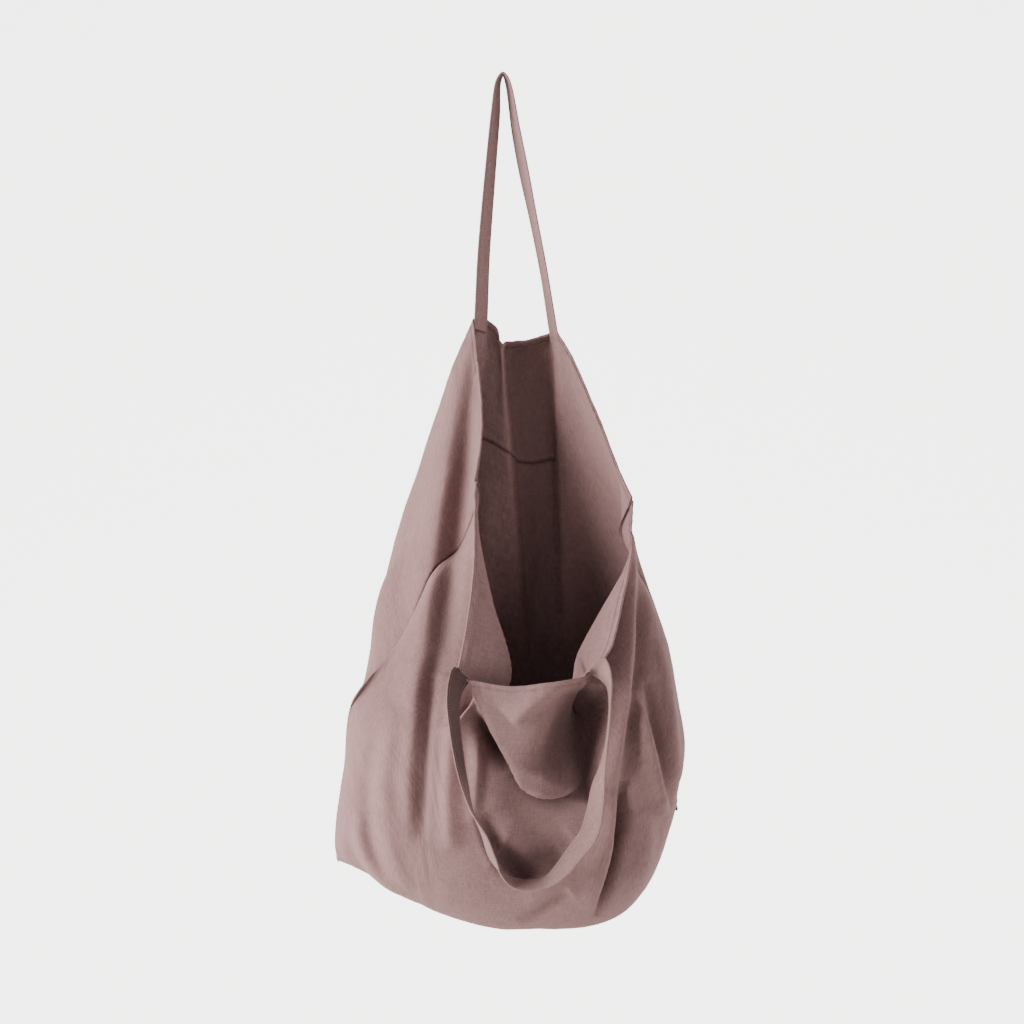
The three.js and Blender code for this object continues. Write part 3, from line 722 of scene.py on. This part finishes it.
def hem_thickness(lengths):
    """The inner face stands further out where the hem is folded over."""
    return CLOTH_HALF + HEM_EXTRA * (1 - smooth(HEM_WIDTH - 0.4, HEM_WIDTH + 0.4, lengths[..., 1]))


def seam_dip(c):
    """The cloth draws in along the side seams."""
    near = np.maximum(0, PANEL_HALF_WIDTH - np.abs(c))
    return -SEAM_DIP * np.exp(-((near / SEAM_DIP_WIDTH) ** 2))


def hem_relief(lengths, seed):
    """The stitched line draws the hem in, and the hem puckers along it."""
    from_rim = lengths[..., 1]
    line = np.exp(-(((from_rim - HEM_STITCH_AT) / HEM_DIP_WIDTH) ** 2))
    along_hem = np.broadcast_to(lengths[:, :1, 0], from_rim.shape)
    pucker = np.zeros_like(from_rim)
    for k, one in enumerate(PUCKERS):
        u = along_hem / one.along + PUCKER_OFFSET
        pucker += one.share * value_noise(u, from_rim / one.across, seed + k)
    return HEM_PUCKER * pucker * (1 - smooth(HEM_WIDTH, PUCKER_REACH, from_rim)) - HEM_DIP * line


def painted_cloth_shading(c, lengths, base):
    """Painted shade of the cloth, darker in seams, stitch lines and deep folds where shade falls, and a
    painted highlight on ridges.
    """
    near_seam = np.maximum(0, PANEL_HALF_WIDTH - np.abs(c))[:, None]
    seam = 1 - SEAM_SHADE * np.exp(-((near_seam / SEAM_LINE) ** 2))
    stitch = 1 - STITCH_SHADE * np.exp(-(((lengths[..., 1] - HEM_STITCH_AT) / HEM_DIP_WIDTH) ** 2))
    rise = front_rise(base)
    # Painted highlight on rising folds and painted shade in sinking ones
    ridge = RIDGE_HIGHLIGHT * np.clip(rise / RIDGE_FULL, 0, 1)
    valley = VALLEY_SHADE * np.clip(-rise / VALLEY_FULL, 0, 1)
    return seam * stitch * (1 + ridge - valley)


def cowl_shade(c, points):
    """Painted shade on the cloth close under the cowl's left and lower edges, where the flap's shadow
    falls.
    """
    within = np.minimum(*cowl_sides(points))
    outside = np.maximum(0, -within)
    under = np.exp(-((outside / COWL_SHADE_REACH) ** 2)) * (1 - smooth(0, COWL_SHADE_EDGE, within))
    under = under * smooth(0, COWL_FALL, COWL_RIGHT - points[..., 0])
    under = under * smooth(0, COWL_SHADE_TOP, COWL_RIM_Z - COWL_SHADE_TOP - points[..., 2])
    return 1 - COWL_SHADE * under * cowl_columns(c)


def upper_nodes(c):
    """1 on the columns of the upper back."""
    return (c >= UPPER_BACK_SPAN[0]) & (c <= UPPER_BACK_SPAN[1])


def tape(name, route, material, end_shade=0):
    """Flat folded tape along its route, with rounded edges, and painted shade on its inner face near its
    first end.
    """
    path = np.array([[(row.x, row.y, row.z) for row in route]], float)
    turns = np.array([[(row.across_x, row.across_y, row.across_z) for row in route]], float)
    t = np.linspace(0, 1, STRAP_STEPS + 1)[None, :]
    centre = spline(path, t)[0]
    across = spline(turns, t)[0]
    tangent = unit(np.gradient(centre, axis=0))
    across = unit(across - tangent * np.sum(across * tangent, axis=-1, keepdims=True))
    out = np.cross(tangent, across)
    half = STRAP_WIDTH / 2
    thick = STRAP_THICKNESS / 2
    section = []
    for k in range(STRAP_ACROSS + 1):
        section.append((mix(-half + thick, half - thick, k / STRAP_ACROSS), thick))
    for k in range(1, STRAP_EDGE_STEPS):
        angle = math.pi * (0.5 - k / STRAP_EDGE_STEPS)
        section.append((half - thick + thick * math.cos(angle), thick * math.sin(angle)))
    for k in range(STRAP_ACROSS + 1):
        section.append((mix(half - thick, -half + thick, k / STRAP_ACROSS), -thick))
    for k in range(1, STRAP_EDGE_STEPS):
        angle = -math.pi * (0.5 + k / STRAP_EDGE_STEPS)
        section.append((-half + thick + thick * math.cos(angle), thick * math.sin(angle)))
    section = np.array(section)
    n = len(section)
    points = centre[:, None] + across[:, None] * section[:, :1] + out[:, None] * section[:, 1:]
    length = running_length(centre[None])[0]
    uv = np.stack(np.broadcast_arrays(section[None, :, 0], length[:, None]), axis=-1)
    # Painted shade: the inner face of the tape grows darker towards its first end
    inner = smooth(0, -thick, section[None, :, 1])
    near_end = 1 - smooth(STRAP_SHADE_FULL, STRAP_SHADE_REACH, length[:, None])
    tone = 1 - end_shade * inner * near_end
    faces = []
    for i in range(STRAP_STEPS):
        for j in range(n):
            after = (j + 1) % n
            faces.append((i * n + j, i * n + after, (i + 1) * n + after, (i + 1) * n + j))
    faces.append(tuple(range(n - 1, -1, -1)))
    faces.append(tuple(STRAP_STEPS * n + j for j in range(n)))
    edge = half - STRAP_STITCH_IN
    face = thick + STITCH_LIFT
    lines = [centre + across * side * edge + out * up * face for side in (-1, 1) for up in (-1, 1)]
    obj = mesh_object(
        name, points.reshape(-1, 3), faces, uv.reshape(-1, 2), material, tone.reshape(-1)
    )
    return obj, lines


def linear(hex_colour):
    parts = [int(hex_colour[k : k + 2], 16) / 255 for k in (1, 3, 5)]
    return (
        *(p / 12.92 if p <= 0.04045 else ((p + 0.055) / 1.055) ** 2.4 for p in parts),
        1.0,
    )


def add(tree, kind, links=(), **values):
    """Adds a node, sets its properties or input sockets by name, and links inputs from (node, output)."""
    node = tree.nodes.new(kind)
    for name, value in values.items():
        if hasattr(node, name):
            setattr(node, name, value)
        else:
            node.inputs[name.replace("_", " ")].default_value = value
    for socket, (source, output) in dict(links).items():
        tree.links.new(source.outputs[output], node.inputs[socket])
    return node


def per_metre(size):
    """Scale of a pattern whose size is given in millimetres."""
    return 1 / (size * MM)


def linen_material(name, colour, thread_size):
    """Washed linen: a matt cloth with uneven threads both ways, some thicker and paler than the rest."""
    material = bpy.data.materials.new(name)
    material.use_nodes = True
    tree = material.node_tree
    tree.nodes.clear()
    uv = add(tree, "ShaderNodeUVMap", uv_map="cloth")
    thread = per_metre(thread_size)
    heights = []
    slubs = []
    for stretch in ((thread, thread / SLUB_STRETCH, 1), (thread / SLUB_STRETCH, thread, 1)):
        lanes = add(tree, "ShaderNodeMapping", {"Vector": (uv, "UV")}, Scale=stretch)
        slubs.append(
            add(
                tree,
                "ShaderNodeTexNoise",
                {"Vector": (lanes, "Vector")},
                Scale=1.0,
                Detail=2.0,
                Roughness=0.6,
            )
        )
    for direction in ("X", "Y"):
        heights.append(
            add(
                tree,
                "ShaderNodeTexWave",
                {"Vector": (uv, "UV")},
                bands_direction=direction,
                Scale=thread / math.pi,
                Distortion=0.0,
            )
        )
    streaks = add(tree, "ShaderNodeMath", {0: (slubs[0], "Fac"), 1: (slubs[1], "Fac")}, operation="ADD")
    weave = add(
        tree, "ShaderNodeMath", {0: (heights[0], "Fac"), 1: (heights[1], "Fac")}, operation="MULTIPLY"
    )
    on_cloth = {"Vector": (uv, "UV")}
    cloudy = add(
        tree, "ShaderNodeTexNoise", on_cloth, Scale=per_metre(CLOUD_SIZE), Detail=4.0, Roughness=0.6
    )
    tone = add(tree, "ShaderNodeMath", {0: (streaks, 0)}, operation="MULTIPLY_ADD")
    tone.inputs[1].default_value = STREAK_SHARE
    tone.inputs[2].default_value = BASE_SHARE
    clouded = add(tree, "ShaderNodeMath", {0: (cloudy, "Fac"), 2: (tone, 0)}, operation="MULTIPLY_ADD")
    clouded.inputs[1].default_value = CLOUD_SHARE
    flecks = add(
        tree, "ShaderNodeTexNoise", on_cloth, Scale=per_metre(FLECK_SIZE), Detail=2.0, Roughness=0.7
    )
    shade = add(tree, "ShaderNodeMath", {0: (flecks, "Fac"), 2: (clouded, 0)}, operation="MULTIPLY_ADD")
    shade.inputs[1].default_value = FLECK_SHARE
    # Painted shade and painted highlight from the mesh's tone attribute darken and lighten the linen's
    # colour
    painted = add(tree, "ShaderNodeAttribute", attribute_name="tone")
    toned = add(tree, "ShaderNodeMath", {0: (shade, 0), 1: (painted, "Fac")}, operation="MULTIPLY")
    base = add(tree, "ShaderNodeVectorMath", {"Scale": (toned, 0)}, operation="SCALE")
    base.inputs[0].default_value = linear(colour)[:3]
    crumple = add(
        tree, "ShaderNodeTexNoise", on_cloth, Scale=per_metre(CRUMPLE_SIZE), Detail=5.0, Roughness=0.62
    )
    bump = None
    for source, (strength, distance) in (
        ((crumple, "Fac"), CRUMPLE_BUMP),
        ((streaks, 0), STREAK_BUMP),
        ((weave, 0), WEAVE_BUMP),
    ):
        links = {"Height": source}
        if bump:
            links["Normal"] = (bump, "Normal")
        bump = add(tree, "ShaderNodeBump", links, Strength=strength, Distance=distance)
    surface = add(
        tree,
        "ShaderNodeBsdfPrincipled",
        {"Base Color": (base, 0), "Normal": (bump, "Normal")},
        Roughness=LINEN_ROUGHNESS,
        Specular_IOR_Level=LINEN_SHINE,
        Sheen_Weight=LINEN_FUZZ,
        Sheen_Roughness=LINEN_FUZZ_ROUGHNESS,
        Sheen_Tint=linear(colour),
    )
    add(tree, "ShaderNodeOutputMaterial", {"Surface": (surface, "BSDF")})
    return material


def plain_material(name, colour, roughness):
    material = bpy.data.materials.new(name)
    material.use_nodes = True
    surface = material.node_tree.nodes["Principled BSDF"]
    surface.inputs["Base Color"].default_value = linear(colour)
    surface.inputs["Roughness"].default_value = roughness
    return material


def thread_material(name, colour):
    """Sewing thread: a little paler and smoother than the cloth, uneven from stitch to stitch."""
    material = bpy.data.materials.new(name)
    material.use_nodes = True
    tree = material.node_tree
    tree.nodes.clear()
    place = add(tree, "ShaderNodeTexCoord")
    twist = add(
        tree, "ShaderNodeTexNoise", {"Vector": (place, "Object")}, Scale=per_metre(TWIST_SIZE), Detail=2.0
    )
    shade = add(tree, "ShaderNodeMath", {0: (twist, "Fac")}, operation="MULTIPLY_ADD")
    shade.inputs[1].default_value = TWIST_SHARE
    shade.inputs[2].default_value = TWIST_BASE
    base = add(tree, "ShaderNodeVectorMath", {"Scale": (shade, 0)}, operation="SCALE")
    base.inputs[0].default_value = linear(colour)[:3]
    surface = add(tree, "ShaderNodeBsdfPrincipled", {"Base Color": (base, 0)}, Roughness=THREAD_ROUGHNESS)
    add(tree, "ShaderNodeOutputMaterial", {"Surface": (surface, "BSDF")})
    return material


def stitch_tree():
    """Geometry nodes: short threads laid one after another along the edges of a mesh."""
    tree = bpy.data.node_groups.new("stitches", "GeometryNodeTree")
    tree.interface.new_socket("Geometry", in_out="INPUT", socket_type="NodeSocketGeometry")
    for name in ("Pitch", "Length", "Width"):
        tree.interface.new_socket(name, in_out="INPUT", socket_type="NodeSocketFloat")
    tree.interface.new_socket("Seed", in_out="INPUT", socket_type="NodeSocketInt")
    tree.interface.new_socket("Thread", in_out="INPUT", socket_type="NodeSocketMaterial")
    tree.interface.new_socket("Geometry", in_out="OUTPUT", socket_type="NodeSocketGeometry")
    given = add(tree, "NodeGroupInput")
    line = add(tree, "GeometryNodeMeshToCurve", {"Mesh": (given, "Geometry")})
    places = add(
        tree,
        "GeometryNodeCurveToPoints",
        {"Curve": (line, "Curve"), "Length": (given, "Pitch")},
        mode="LENGTH",
    )
    bead = add(tree, "GeometryNodeMeshUVSphere", Segments=6, Rings=4, Radius=0.5)
    size = add(
        tree,
        "ShaderNodeCombineXYZ",
        {"X": (given, "Width"), "Y": (given, "Width"), "Z": (given, "Length")},
    )
    vary = add(
        tree,
        "FunctionNodeRandomValue",
        {"Seed": (given, "Seed")},
        data_type="FLOAT_VECTOR",
        Min=STITCH_LEAST,
        Max=STITCH_MOST,
    )
    scale = add(
        tree, "ShaderNodeVectorMath", {0: (size, "Vector"), 1: (vary, "Value")}, operation="MULTIPLY"
    )
    laid = add(
        tree,
        "GeometryNodeInstanceOnPoints",
        {
            "Points": (places, "Points"),
            "Instance": (bead, "Mesh"),
            "Rotation": (places, "Rotation"),
            "Scale": (scale, "Vector"),
        },
    )
    real = add(tree, "GeometryNodeRealizeInstances", {"Geometry": (laid, "Instances")})
    done = add(
        tree, "GeometryNodeSetMaterial", {"Geometry": (real, "Geometry"), "Material": (given, "Thread")}
    )
    add(tree, "NodeGroupOutput", {"Geometry": (done, "Geometry")})
    return tree


def stitched(name, lines, tree, material):
    """One piece of stitches along several lines of points, in millimetres."""
    edges = []
    start = 0
    for line in lines:
        edges += [(start + k, start + k + 1) for k in range(len(line) - 1)]
        start += len(line)
    mesh = bpy.data.meshes.new(name)
    mesh.from_pydata((np.concatenate(lines) * MM).tolist(), edges, [])
    obj = bpy.data.objects.new(name, mesh)
    bpy.context.scene.collection.objects.link(obj)
    modifier = obj.modifiers.new("stitches", "NODES")
    modifier.node_group = tree
    sizes = {
        "Pitch": STITCH_PITCH * MM,
        "Length": STITCH_LENGTH * MM,
        "Width": STITCH_WIDTH * MM,
        "Seed": STITCH_SEED,
        "Thread": material,
    }
    for item in tree.interface.items_tree:
        if item.in_out == "INPUT" and item.name in sizes:
            modifier[item.identifier] = sizes[item.name]
    graph = bpy.context.evaluated_depsgraph_get()
    result = bpy.data.meshes.new_from_object(obj.evaluated_get(graph))
    obj.modifiers.clear()
    obj.data = result
    result.polygons.foreach_set("use_smooth", np.ones(len(result.polygons), bool))
    return obj


def stitch_lines(points, sign, thick_in, row, columns):
    """Lines of stitches on both faces of a cloth, along one row of its grid."""
    normals = grid_normals(points, sign)[columns, row]
    middle = points[columns, row]
    over = middle + normals * (CLOTH_HALF + STITCH_LIFT)
    under = middle - normals * (thick_in[columns, row] + STITCH_LIFT)[:, None]
    return [over, under]


def light(name, kind, energy, come_from):
    """A light that shines from a direction."""
    lamp = bpy.data.objects.new(name, bpy.data.lights.new(name, kind))
    lamp.data.energy = energy
    lamp.rotation_mode = "QUATERNION"
    lamp.rotation_quaternion = Vector(come_from).to_track_quat("Z", "Y")
    bpy.context.scene.collection.objects.link(lamp)
    return lamp


def stage_plane(name, corners, material):
    """A plain four-cornered surface of the studio, in metres."""
    points = [tuple(value / MM for value in corner) for corner in corners]
    plane = mesh_object(name, points, [(0, 1, 2, 3)], np.zeros((4, 2)), material)


# Camera and studio
camera = bpy.data.objects.new("camera", bpy.data.cameras.new("camera"))
camera.data.lens = CAMERA_LENS
camera.location = CAMERA_AT
camera.rotation_euler = (math.radians(90), 0, 0)
bpy.context.scene.collection.objects.link(camera)
bpy.context.scene.camera = camera

world = bpy.data.worlds.new("studio")
world.use_nodes = True
world.node_tree.nodes["Background"].inputs["Color"].default_value = WORLD_TINT
world.node_tree.nodes["Background"].inputs["Strength"].default_value = WORLD_STRENGTH
bpy.context.scene.world = world

key = light("key", "AREA", KEY_WATTS, Vector(KEY_AT) - Vector(KEY_AIM))
key.data.shape = "RECTANGLE"
key.data.size, key.data.size_y = KEY_SIZE
key.location = KEY_AT
key.visible_camera = False
fill = light("fill", "SUN", FILL_STRENGTH, FILL_FROM)
fill.data.angle = FILL_SOFTNESS

pale = plain_material("pale matt floor", PALE, PALE_ROUGHNESS)
glow = plain_material("pale lit backdrop", PALE, PALE_ROUGHNESS)
glow.node_tree.nodes["Principled BSDF"].inputs["Emission Color"].default_value = linear(PALE)
glow.node_tree.nodes["Principled BSDF"].inputs["Emission Strength"].default_value = BACKDROP_GLOW

near, far, half = STUDIO_NEAR_Y, BACKDROP_Y, STUDIO_HALF_WIDTH
foot, top = FLOOR_Z, BACKDROP_TOP
stage_plane("floor", [(-half, near, foot), (half, near, foot), (half, far, foot), (-half, far, foot)], pale)
stage_plane("backdrop", [(-half, far, foot), (half, far, foot), (half, far, top), (-half, far, top)], glow)

# Cloth and thread
linen = linen_material("washed linen", LINEN, LINEN_THREAD)
strap_linen = linen_material("folded linen tape", STRAP_LINEN, TAPE_THREAD)
thread = thread_material("linen sewing thread", THREAD)

# Front panel
inner_reach = PANEL_HALF_WIDTH - SEAM_COLUMNS[-1]
panel_c = np.concatenate(
    [
        np.array(SEAM_COLUMNS[:-1]) - PANEL_HALF_WIDTH,
        np.linspace(-inner_reach, inner_reach, PANEL_COLUMNS + 1),
        PANEL_HALF_WIDTH - np.array(SEAM_COLUMNS[-2::-1]),
    ]
)
front_c = panel_c
front_columns = cloth_columns(FRONT_RIM, front_c)
front_base = spline(front_columns, front_places(front_columns))
front_base = front_base + seam_slide(front_c[:, None], front_base)
front_lengths = cloth_lengths(front_c, front_base)
front_points = folded(front_base) + cowl_shift(front_c[:, None], front_base)
front_normals = grid_normals(front_points, 1)
front_relief = wrinkles(front_lengths, FRONT_DENT_SEED) + hem_relief(front_lengths, FRONT_PUCKER_SEED)
front_relief = front_relief + seam_dip(front_c[:, None])
front_points = front_points + front_normals * front_relief[..., None]
front_thickness = hem_thickness(front_lengths)
# Painted shade in seams, stitch lines, fold valleys and under the cowl, and painted highlight on ridges
front_painted_shading = painted_cloth_shading(front_c, front_lengths, front_base) * cowl_shade(front_c[:, None], front_base)
front_panel = cloth_piece(
    "front_cloth", front_points, 1, front_thickness, front_lengths, front_painted_shading, linen
)

# Back panels: the first rows reach the seam across the back, the others go on to the bottom.
back_c = panel_c
back_columns = cloth_columns(BACK_RIM, back_c)
back_v = back_places(back_columns, along(BACK_SEAM, "v", back_c))
back_base = spline(back_columns, back_v)
back_base = back_base + seam_slide(back_c[:, None], back_base)
back_lengths = cloth_lengths(back_c, back_base)
back_points = folded(back_base)
back_points[..., 1] += recess_shift(back_c[:, None], back_v)
back_normals = grid_normals(back_points, -1)
back_relief = wrinkles(back_lengths, BACK_DENT_SEED) + hem_relief(back_lengths, BACK_PUCKER_SEED)
back_relief = back_relief + seam_dip(back_c[:, None])
back_points = back_points + back_normals * back_relief[..., None]
upper_columns = (back_c[:-1] >= UPPER_BACK_SPAN[0]) & (back_c[1:] <= UPPER_BACK_SPAN[1])
upper_cells = upper_columns[:, None] & (np.arange(back_v.shape[1] - 1) < UPPER_ROWS)[None, :]
back_thickness = hem_thickness(back_lengths)
from_seam = back_lengths[..., 1] - back_lengths[:, UPPER_ROWS, 1][:, None]
in_fold = smooth(-SEAM_FOLD_WIDTH, -SEAM_FOLD_WIDTH + 1, from_seam)
upper_thickness = back_thickness + SEAM_FOLD_EXTRA * in_fold
near_fold = 1 - smooth(0, SEAM_THIN_REACH, np.abs(from_seam))
lower_thickness = back_thickness - SEAM_FOLD_EXTRA / 2 * near_fold
# Painted shade in seams, stitch lines and fold valleys, painted highlight on ridges, and painted shade
# along the seam across the back
back_painted_shading = painted_cloth_shading(back_c, back_lengths, back_base)
yoke_columns = upper_nodes(back_c)
near_yoke = yoke_columns[:, None] * np.exp(-((from_seam / YOKE_LINE) ** 2))
back_painted_shading = back_painted_shading * (1 - YOKE_SHADE * near_yoke)
upper_back = cloth_piece(
    "upper_back_cloth", back_points, -1, upper_thickness, back_lengths, back_painted_shading, linen, upper_cells
)
lower_back = cloth_piece(
    "lower_back_cloth", back_points, -1, lower_thickness, back_lengths, back_painted_shading, linen, ~upper_cells
)

# Straps
back_strap, back_strap_lines = tape("back_strap_tape", BACK_STRAP, strap_linen)
# The front strap's inner face carries painted shade near its first end
front_strap, front_strap_lines = tape("front_strap_tape", FRONT_STRAP, strap_linen, STRAP_SHADE)

# Stitches
stitches = stitch_tree()
every_column = slice(None)
front_stitches = stitched(
    "front_hem_stitches",
    stitch_lines(front_points, 1, front_thickness, HEM_STITCH_ROW, every_column),
    stitches,
    thread,
)
back_stitches = stitched(
    "back_hem_stitches",
    stitch_lines(back_points, -1, back_thickness, HEM_STITCH_ROW, every_column),
    stitches,
    thread,
)
seam_stitches = stitched(
    "back_seam_stitches",
    stitch_lines(back_points, -1, upper_thickness, UPPER_ROWS - 1, yoke_columns),
    stitches,
    thread,
)
back_strap_stitches = stitched("back_strap_stitches", back_strap_lines, stitches, thread)
front_strap_stitches = stitched("front_strap_stitches", front_strap_lines, stitches, thread)

# Bodies: each piece attached to the root body, with its imported part hidden
for piece, node, slot in (
    (front_panel, "front_panel", "linen"),
    (upper_back, "upper_back", "linen"),
    (lower_back, "lower_back", "linen"),
    (back_strap, "back_strap", "strap_linen"),
    (front_strap, "front_strap", "strap_linen"),
):
    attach(piece, "root")
    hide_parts(node)

for piece in (front_stitches, back_stitches, seam_stitches, back_strap_stitches, front_strap_stitches):
    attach(piece, "root")
